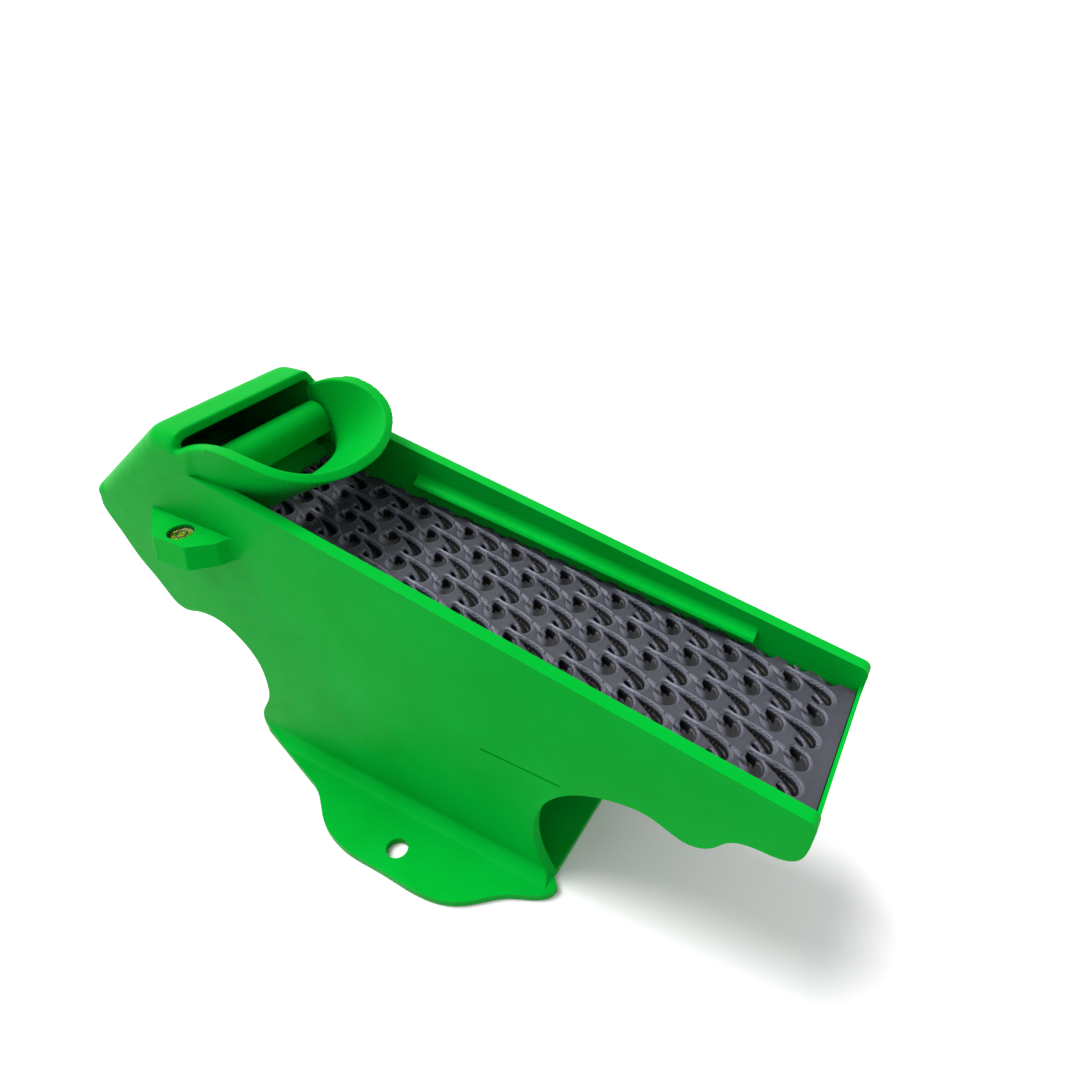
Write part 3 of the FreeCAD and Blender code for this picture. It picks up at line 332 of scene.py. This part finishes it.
def through(points, samples):
    """Centripetal Catmull-Rom curve through points."""
    points = np.array(points, float)
    step = np.linalg.norm(np.diff(points, axis=0), axis=1) ** 0.5
    knots = np.concatenate([[0], np.cumsum(step)])
    slopes = np.zeros_like(points)
    for i in range(len(points)):
        if i == 0:
            slopes[i] = (points[1] - points[0]) / (knots[1] - knots[0])
        elif i == len(points) - 1:
            slopes[i] = (points[-1] - points[-2]) / (knots[-1] - knots[-2])
        else:
            a, b = knots[i] - knots[i - 1], knots[i + 1] - knots[i]
            before = (points[i] - points[i - 1]) / a
            after = (points[i + 1] - points[i]) / b
            slopes[i] = (before * b + after * a) / (a + b)
    result = []
    for value in np.linspace(0, knots[-1], samples):
        i = min(np.searchsorted(knots, value, side="right") - 1, len(points) - 2)
        width = knots[i + 1] - knots[i]
        s = (value - knots[i]) / width
        h00, h10 = 2 * s**3 - 3 * s**2 + 1, s**3 - 2 * s**2 + s
        h01, h11 = -2 * s**3 + 3 * s**2, s**3 - s**2
        result.append(h00 * points[i] + h10 * width * slopes[i] + h01 * points[i + 1]
                      + h11 * width * slopes[i + 1])
    return np.array(result)


# ---------------------------------------------------------------- sluice body

SKIN_EDGE = 0.5 * MM
FLAT_ANGLE = math.radians(1.0)
BEVEL_ANGLE = math.radians(25.0)
SHARP_ANGLE = math.radians(32)


def at_seam(edge):
    """True on the joint between the walls and the hood, which stays crisp."""
    near = 0.6 * MM
    return all(abs(v.co.z - hood_seam(v.co.x)) < near and v.co.x < MOUTH_X + 3 * MM
               for v in edge.verts)


def sluice_body():
    """The CAD body with its sharp edges rounded and its faces shaded evenly."""
    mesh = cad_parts["sluice_body"].data.copy()
    mesh.name = "sluice_body_skin"
    work = bmesh.new()
    work.from_mesh(mesh)
    bmesh.ops.remove_doubles(work, verts=work.verts, dist=WELD)
    bmesh.ops.dissolve_limit(work, angle_limit=FLAT_ANGLE, verts=work.verts, edges=work.edges)
    chosen = [edge for edge in work.edges
              if len(edge.link_faces) == 2 and edge.calc_face_angle(0.0) >= BEVEL_ANGLE
              and not at_seam(edge)]
    bmesh.ops.bevel(work, geom=chosen, offset=SKIN_EDGE, offset_type="OFFSET", segments=2,
                    profile=0.5, affect="EDGES", clamp_overlap=True)
    work.to_mesh(mesh)
    work.free()
    mesh.shade_smooth()
    mesh.set_sharp_from_angle(angle=SHARP_ANGLE)
    piece = new_piece("sluice_body_skin", mesh, GREEN, "sluice", smooth=False)
    even = piece.modifiers.new("even", "WEIGHTED_NORMAL")
    even.keep_sharp = True
    even.weight = 100
    apply_modifiers(piece)
    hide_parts("sluice_body")


sluice_body()


# ---------------------------------------------------------------- hood and hopper

VOXEL = 0.55 * MM
SOFTEN_PASSES = 6
EASE_PASSES = 70
SEAM_NEAR = 0.06 * MM
SKIRT = 5 * MM
CROWN_X = MOUTH_X - 7 * MM
CROWN_BLEND = 6 * MM
BACK_CUT_X = -125.0 * MM
TOOL_BASE_Z = 100.0 * MM


def prism_tool(outline, y_low, y_high):
    """A block whose XZ outline runs across from y_low to y_high."""
    count = len(outline)
    points = [(x, y_low, z) for x, z in outline] + [(x, y_high, z) for x, z in outline]
    faces = [tuple(range(count)), tuple(reversed(range(count, 2 * count)))]
    faces += [(i, (i + 1) % count, count + (i + 1) % count, count + i) for i in range(count)]
    mesh = mesh_from("prism_tool", points, faces)
    work = bmesh.new()
    work.from_mesh(mesh)
    bmesh.ops.recalc_face_normals(work, faces=work.faces)
    work.to_mesh(mesh)
    work.free()
    return new_object("prism_tool", mesh)


def on_seam(co):
    """True on the hood's underside, where it meets the walls and rails."""
    level = hood_seam(co.x) if co.x < MOUTH_X else rail_top(co.x)
    on_wall = abs(co.z - level) < SEAM_NEAR and abs(co.y) > INNER_HALF - 0.2 * MM
    on_back = abs(co.z - HOOD_LOW.z) < 3 * MM and abs(co.z - hood_seam(co.x)) < SEAM_NEAR
    return on_wall or on_back


def round_weight(co):
    """How far a point of the hood is eased: its crown and the cheeks at its mouth."""
    if co.x < CROWN_X and co.z > hood_seam(co.x) + 2 * MM:
        return min(1.0, (CROWN_X - co.x) / CROWN_BLEND)
    if MOUTH_X - 3 * MM < co.x < MOUTH_X + 22 * MM and abs(co.y) > OUTER_HALF - 4 * MM:
        return 1.0
    return None


def smoothing(piece, name, passes):
    modifier = piece.modifiers.new(name, "SMOOTH")
    modifier.factor = 0.5
    modifier.iterations = passes
    return modifier


def header_hood():
    """Hood and hopper with every edge softened.

    The underside is first carried down by SKIRT, so that softening leaves it alone, and then
    cut off flat where it sits on the walls.
    """
    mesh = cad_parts["header_hood"].data.copy()
    work = bmesh.new()
    work.from_mesh(mesh)
    bmesh.ops.remove_doubles(work, verts=work.verts, dist=WELD)
    under = [face for face in work.faces if all(on_seam(v.co) for v in face.verts)]
    grown = bmesh.ops.extrude_face_region(work, geom=under)
    for thing in grown["geom"]:
        if isinstance(thing, bmesh.types.BMVert):
            thing.co.z -= SKIRT
    bmesh.ops.delete(work, geom=under, context="FACES_ONLY")
    bmesh.ops.recalc_face_normals(work, faces=work.faces)
    work.to_mesh(mesh)
    work.free()
    shell = new_object("hood_shell", mesh)
    remesh = shell.modifiers.new("blend", "REMESH")
    remesh.mode = "VOXEL"
    remesh.voxel_size = VOXEL
    remesh.use_smooth_shade = True
    smoothing(shell, "soften", SOFTEN_PASSES)
    apply_modifiers(shell)
    rounder = shell.vertex_groups.new(name="rounder")
    for vertex in shell.data.vertices:
        weight = round_weight(vertex.co)
        if weight is not None:
            rounder.add([vertex.index], weight, "REPLACE")
    smoothing(shell, "ease", EASE_PASSES).vertex_group = "rounder"
    apply_modifiers(shell)
    gap = 0.1 * MM
    start = BACK_X - 5 * MM
    wide = OUTER_HALF + 2 * MM
    below = [(start, TOOL_BASE_Z), (TAIL_X, TOOL_BASE_Z), (TAIL_X, rail_top(TAIL_X)),
             (MOUTH_X, rail_top(MOUTH_X)), (start, hood_seam(start))]
    behind = [(start, TOOL_BASE_Z), (BACK_CUT_X, TOOL_BASE_Z),
              (BACK_CUT_X, hood_seam(BACK_CUT_X)), (start, hood_seam(start))]
    cut(shell, prism_tool(below, INNER_HALF - gap, wide))
    cut(shell, prism_tool(below, -wide, gap - INNER_HALF))
    cut(shell, prism_tool(behind, -wide, wide))
    for vertex in shell.data.vertices:
        vertex.co.y = max(-OUTER_HALF, min(OUTER_HALF, vertex.co.y))
    mesh = shell.data
    bpy.data.objects.remove(shell)
    piece = new_piece("header_hood_skin", mesh, GREEN, "sluice")
    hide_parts("header_hood")


header_hood()


# ---------------------------------------------------------------- riffle mat

# In mm. One cell of the pattern is drawn where it lies on the mat, with its dish at
# PATTERN_X, PATTERN_Y. The others are copies of it, CELL apart in a row, and every other row
# is shifted by half a cell.
CELL = 27.15
ROW = 12.57
PATTERN_X, PATTERN_Y = 105.3, 2.6
PATTERN_END = 181.0
FRONT_REACH = 6.0
REAR_REACH = 19.5
STRIP_X = 179.6
TICK_PITCH = 1.6
TICK_X = 180.4
SHORT_TICK_END = 182.6
FACE_SINK = 0.80
MAT_PITCH = 0.42 * MM


def step(value, width):
    """Smooth rise from 0 to 1 as value goes from 0 to width."""
    s = np.clip(value / width, 0, 1)
    return s * s * (3 - 2 * s)


def tapered(x, y, spine, samples=40):
    """Depth inside a bent, tapering capsule, its local radius and its nearest centre."""
    spine = through(spine, samples)
    inside = np.full(x.shape, -1e9)
    radius = np.ones(x.shape)
    centre_x, centre_y = np.zeros(x.shape), np.zeros(x.shape)
    for cx, cy, r in spine:
        depth = r - np.hypot(x - cx, y - cy)
        nearer = depth > inside
        inside = np.where(nearer, depth, inside)
        radius = np.where(nearer, r, radius)
        centre_x = np.where(nearer, cx, centre_x)
        centre_y = np.where(nearer, cy, centre_y)
    return inside, radius, centre_x, centre_y


def bead(x, y, spine, spread):
    """Rounded ridge whose height follows its spine's third value."""
    height = np.zeros(x.shape)
    for cx, cy, tall in through(spine, 70):
        height = np.maximum(height, tall * np.exp(-((x - cx) ** 2 + (y - cy) ** 2) / spread))
    return height


def dish(x, y):
    """Shallow scoop left of the pocket: flat floor, steep rim on its right."""
    inside = tapered(x, y, [(104.9, 2.6, 5.2), (105.3, 2.4, 5.3)], 4)[0]
    floor = np.clip((0.85 * (x - 105.2) + 0.35 * (y - 2.4) + 5.6) / 7.0, 0, 1)
    return -2.1 * floor * step(inside + 0.1, 0.9)


def hook(x, y):
    """Hooked hole at the head of the dish."""
    inside = tapered(x, y, [(102.4, 7.5, 0.7), (103.3, 6.8, 1.35), (104.5, 5.6, 1.5),
                            (104.9, 4.4, 1.1), (104.3, 3.4, 0.7)])[0]
    return -4.8 * step(inside + 0.2, 0.8)


def pocket(x, y):
    """Long pocket under the crest, deepest along its far rim."""
    spine = [(107.4, 7.9, 0.3), (110.8, 7.0, 1.25), (114.4, 5.8, 2.0), (118.0, 4.3, 2.6),
             (120.6, 2.5, 2.9), (121.8, 0.5, 2.0), (121.9, -1.0, 0.9)]
    inside, radius, cx, cy = tapered(x, y, spine)
    lean = (0.62 * (x - cx) + 0.78 * (y - cy)) / radius
    floor = 0.16 + 0.84 * np.clip((lean + 0.9) / 1.5, 0, 1)
    return -3.8 * floor * step(inside + 0.1, 1.0) * np.clip(0.45 + radius / 2.6, 0, 1)


def bean(x, y):
    """Small hole below the pocket."""
    inside = tapered(x, y, [(116.2, 0.1, 0.95), (117.5, -0.9, 1.15), (118.7, -1.8, 0.9)])[0]
    return -4.6 * step(inside + 0.2, 0.7)


def fin(x, y):
    """Groove running into the dish, with a raised edge beside it."""
    groove = tapered(x, y, [(95.2, 6.2, 0.25), (98.6, 4.5, 0.6), (101.2, 3.1, 0.8),
                            (102.6, 2.6, 0.8)])[0]
    edge = bead(x, y, [(95.4, 7.3, 0.1), (98.9, 5.7, 0.30), (101.6, 4.2, 0.30)], 0.30)
    return edge - 1.1 * step(groove + 0.2, 0.7)


def cell_relief(x, y, head, tail):
    """Height of one riffle cell over the mat's face; head and tail say which parts fit."""
    crest = bead(x, y, [(100.8, 9.9, 0.15), (103.4, 9.4, 0.70), (107.4, 8.8, 0.80),
                        (111.0, 8.5, 0.60), (116.0, 8.15, 0.50), (120.3, 7.1, 0.45),
                        (123.6, 4.9, 0.42), (124.8, 2.1, 0.36), (124.2, -0.6, 0.25),
                        (122.0, -2.4, 0.10)], 0.75)
    rim = bead(x, y, [(107.8, 7.4, 0.1), (110.5, 4.4, 0.28), (111.1, 1.9, 0.28),
                      (110.2, -0.6, 0.22), (107.2, -2.6, 0.1)], 0.22)
    front = rim + dish(x, y) + hook(x, y) + fin(x, y)
    rear = crest + pocket(x, y) + bean(x, y)
    return np.where(head, front, 0.0) + np.where(tail, rear, 0.0)


def mat_relief(x, y):
    """Height over the mat's top plane: the riffle pattern, and a ticked strip at its tail."""
    x, y = x / MM, y / MM
    lowest, highest = np.zeros(x.shape), np.zeros(x.shape)
    rows = np.round((y - PATTERN_Y) / ROW)
    for row_step in (-1, 0, 1):
        row = rows + row_step
        shift = PATTERN_X + CELL / 2 * np.mod(row, 2)
        column = np.floor((x - shift) / CELL)
        for column_step in (-1, 0, 1):
            place = shift + (column + column_step) * CELL
            relief = cell_relief(x - place + PATTERN_X, y - row * ROW,
                                 place + FRONT_REACH < PATTERN_END,
                                 place + REAR_REACH < PATTERN_END)
            lowest = np.minimum(lowest, relief)
            highest = np.maximum(highest, relief)
    relief = np.where(lowest < -0.02, lowest, highest)
    strip = step(x - STRIP_X, 0.6)
    off_tick = np.abs(np.mod(y, TICK_PITCH) - TICK_PITCH / 2)
    ticks = 0.25 * step(0.30 - off_tick, 0.2) * step(x - TICK_X, 0.3)
    long_tick = np.mod(np.round((y - TICK_PITCH / 2) / TICK_PITCH), 5) == 0
    ticks *= np.where(long_tick, 1.0, step(SHORT_TICK_END - x, 0.3))
    return (relief * (1 - strip) - ticks - FACE_SINK) * MM


def painted_light_value(level):
    """Value for the material's painted light: 0 on the plain face, up to 0.2 on ridges for a
    painted highlight, 0.3 and more in pits for painted shade.
    """
    ridge = 0.20 * np.clip(level / 0.6, 0, 1) ** 2
    pit = np.clip(0.20 - 0.25 * (level + 0.35), 0.3, 1)
    return np.where(level > 0, ridge, np.where(level < -0.35, pit, 0.0))


def riffle_mat():
    """Moulded mat: a fine relief over the CAD slab's own sides and underside."""
    corners = np.array([v.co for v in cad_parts["riffle_mat"].data.vertices])
    cos, sin = math.cos(MAT_SLOPE), math.sin(MAT_SLOPE)
    along = corners[:, 0] * cos - corners[:, 2] * sin
    normal = corners[:, 0] * sin + corners[:, 2] * cos
    s0, s1 = along.min(), along.max()
    n0, n1 = normal.min(), normal.max()
    y0, y1 = corners[:, 1].min(), corners[:, 1].max()
    rows, columns = int((s1 - s0) / MAT_PITCH) + 2, int((y1 - y0) / MAT_PITCH) + 2
    s, y = np.meshgrid(np.linspace(s0, s1, rows), np.linspace(y0, y1, columns), indexing="ij")
    relief = mat_relief(s * cos + n1 * sin, y)
    padded = np.pad(relief, 1, mode="edge")
    relief = (4 * relief + padded[2:, 1:-1] + padded[:-2, 1:-1] + padded[1:-1, 2:]
              + padded[1:-1, :-2]) / 8
    level = n1 + relief
    top = np.stack([s * cos + level * sin, y, -s * sin + level * cos], -1).reshape(-1, 3)
    grid = np.arange(rows * columns).reshape(rows, columns)
    quads = np.stack([grid[:-1, :-1], grid[1:, :-1], grid[1:, 1:], grid[:-1, 1:]], -1)
    quads = quads.reshape(-1, 4)
    rim = np.concatenate([grid[:-1, 0], grid[-1, :-1], grid[:0:-1, -1], grid[0, :0:-1]])
    rim_s, rim_y = s.reshape(-1)[rim], y.reshape(-1)[rim]
    base = np.stack([rim_s * cos + n0 * sin, rim_y, -rim_s * sin + n0 * cos], -1)
    offset = len(top)
    faces = [tuple(int(i) for i in quad) for quad in quads]
    count = len(rim)
    for i in range(count):
        j = (i + 1) % count
        faces.append((int(rim[j]), int(rim[i]), offset + i, offset + j))
    faces.append(tuple(reversed(range(offset, offset + count))))
    mesh = bpy.data.meshes.new("riffle_mat_relief")
    mesh.from_pydata(np.concatenate([top, base]).tolist(), [], faces)
    mesh.validate()
    mesh.set_sharp_from_angle(angle=math.radians(60))
    # painted highlight and painted shade values, taken from the relief's height and stored for
    # the mat material
    shade = painted_light_value((relief / MM + FACE_SINK).reshape(-1))
    values = np.concatenate([shade, np.zeros(count)]).astype(np.float32)
    mesh.attributes.new("relief", "FLOAT", "POINT").data.foreach_set("value", values)
    piece = new_piece("riffle_mat_relief", mesh, MAT_RUBBER, "mat")
    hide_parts("riffle_mat")


riffle_mat()


# ---------------------------------------------------------------- floor, light and camera

FLOOR_DROP = 0.0005
KEY_FROM = (-0.50, -0.06, 1.0)
KEY_SPREAD = 32.0
KEY_STRENGTH = 4.9
CAMERA_PLACE = (0.17707, -0.20183, 0.33986)
CAMERA_RIGHT = (0.8620, 0.5066, -0.0174)
CAMERA_BACK = (0.3939, -0.6479, 0.6520)
CAMERA_LENS = 23.62
CAMERA_SHIFT = 0.0665


def floor():
    """Plain pale floor, far wider than any view."""
    mesh = bpy.data.meshes.new("floor")
    reach = 60.0
    corners = [(-reach, -reach, 0), (reach, -reach, 0), (reach, reach, 0), (-reach, reach, 0)]
    mesh.from_pydata(corners, [], [(0, 1, 2, 3)])
    piece = new_object("floor", mesh)
    g = Graph("floor_paper")
    g.set(Specular_IOR_Level=0.1)
    g.color(g.ramp(g.noise(6.0, 2.0), [(0.3, (0.65, 0.65, 0.65)), (0.7, (0.67, 0.67, 0.67))]))
    g.roughness(g.grey(g.noise(20.0, 2.0), [(0.3, 0.85), (0.7, 0.95)]))
    mesh.materials.append(g.material)
    piece.location.z = -FLOOR_DROP


def soft_sun(name, place, spread, strength):
    """Even light from the direction of place, with shadows softened by its spread."""
    lamp = bpy.data.lights.new(name, "SUN")
    lamp.angle = math.radians(spread)
    lamp.energy = strength
    thing = new_object(name, lamp)
    thing.location = place
    thing.rotation_euler = (-Vector(place)).to_track_quat("-Z", "Y").to_euler()


def studio():
    """White surroundings and one broad light from above the header."""
    world = bpy.data.worlds.new("studio")
    bpy.context.scene.world = world
    world.use_nodes = True
    background = world.node_tree.nodes["Background"]
    background.inputs["Color"].default_value = (1.0, 1.0, 1.0, 1)
    background.inputs["Strength"].default_value = 1.0
    soft_sun("key", KEY_FROM, KEY_SPREAD, KEY_STRENGTH)


def camera():
    """Seen from above the tail's near side, as in a product picture."""
    data = bpy.data.cameras.new("camera")
    data.sensor_width = 36.0
    data.lens = CAMERA_LENS
    data.shift_y = CAMERA_SHIFT
    thing = new_object("camera", data)
    right = Vector(CAMERA_RIGHT).normalized()
    back = Vector(CAMERA_BACK).normalized()
    up = back.cross(right).normalized()
    right = up.cross(back)
    turn = Matrix((right, up, back)).transposed()
    thing.matrix_world = Matrix.Translation(CAMERA_PLACE) @ turn.to_4x4()
    bpy.context.scene.camera = thing


floor()
studio()
camera()
bpy.context.scene.view_settings.view_transform = "Standard"
